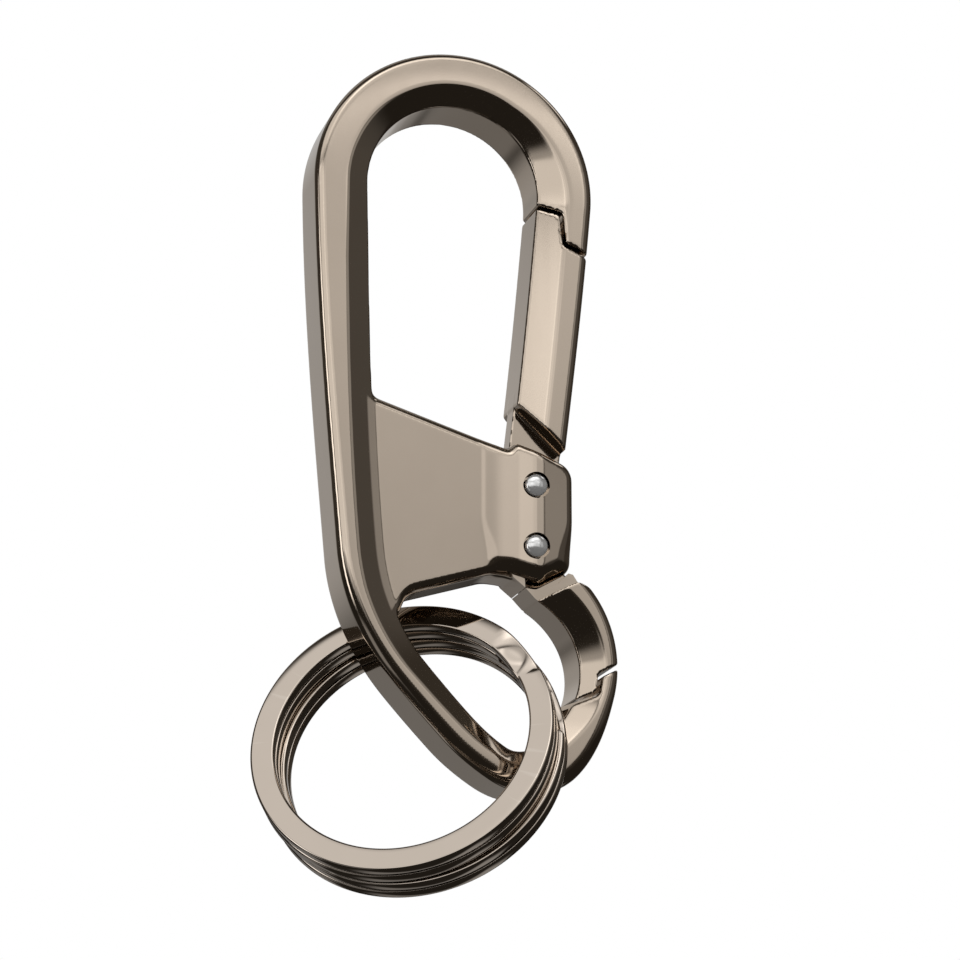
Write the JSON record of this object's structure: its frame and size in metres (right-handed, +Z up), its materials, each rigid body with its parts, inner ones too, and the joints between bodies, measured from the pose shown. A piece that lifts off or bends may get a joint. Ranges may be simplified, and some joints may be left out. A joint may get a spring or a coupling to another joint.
{
  "type": "double carabiner",
  "caption": "Double carabiner with a long gated loop for a belt or bag, a centre plate with rivets, and a small gated loop that carries split key rings.",
  "frame": {"origin": "crown of the large loop's inner arch, at the middle of its thickness, where the carabiner hangs on a belt loop or strap", "axes": "+Z up the length towards the arch, +X right towards the gates, -Y the front face that the picture shows"},
  "size_m": [0.0376, 0.0226, 0.0923],
  "materials": {
    "body_metal": "warm gunmetal plating, satin polished",
    "rivet_metal": "bright, domed",
    "spring_metal": "plain wire",
    "ring_metal": "warm gunmetal plating, polished"
  },
  "bodies": {
    "carabiner_body": {"frame": "body_metal", "main_gate_pin": "rivet_metal", "key_gate_pin": "rivet_metal", "main_gate_spring": "spring_metal", "key_gate_spring": "spring_metal"},
    "main_gate_body": {"main_gate": "body_metal"},
    "key_gate_body": {"key_gate": "body_metal"},
    "front_ring_body": {"front_ring": "ring_metal"},
    "rear_ring_body": {"rear_ring": "ring_metal"}
  },
  "joints": [
    {"name": "main_gate_hinge", "type": "hinge", "parent": "carabiner_body", "child": "main_gate_body", "pos_m": [0.00909, 0, -0.04226], "axis": [0, -1, 0], "range_deg": [0, 20], "stiffness_Nm_per_rad": 0.05, "springref_deg": -51.57, "deforming": ["main_gate_spring"]},
    {"name": "key_gate_hinge", "type": "hinge", "parent": "carabiner_body", "child": "key_gate_body", "pos_m": [0.00909, 0, -0.04888], "axis": [0, 1, 0], "range_deg": [0, 8], "stiffness_Nm_per_rad": 0.02, "springref_deg": -51.57, "deforming": ["key_gate_spring"]},
    {"name": "front_ring_swing", "type": "hinge", "parent": "carabiner_body", "child": "front_ring_body", "pos_m": [-0.001, 0, -0.0635], "axis": [0, 0, -1], "range_deg": [0, 85]},
    {"name": "rear_ring_swing", "type": "hinge", "parent": "carabiner_body", "child": "rear_ring_body", "pos_m": [-0.001, 0, -0.0635], "axis": [0, 0, -1], "range_deg": [0, 85]}
  ],
  "couplings": [
    {"joint": "rear_ring_swing", "follows": "front_ring_swing", "ratio": 1}
  ]
}
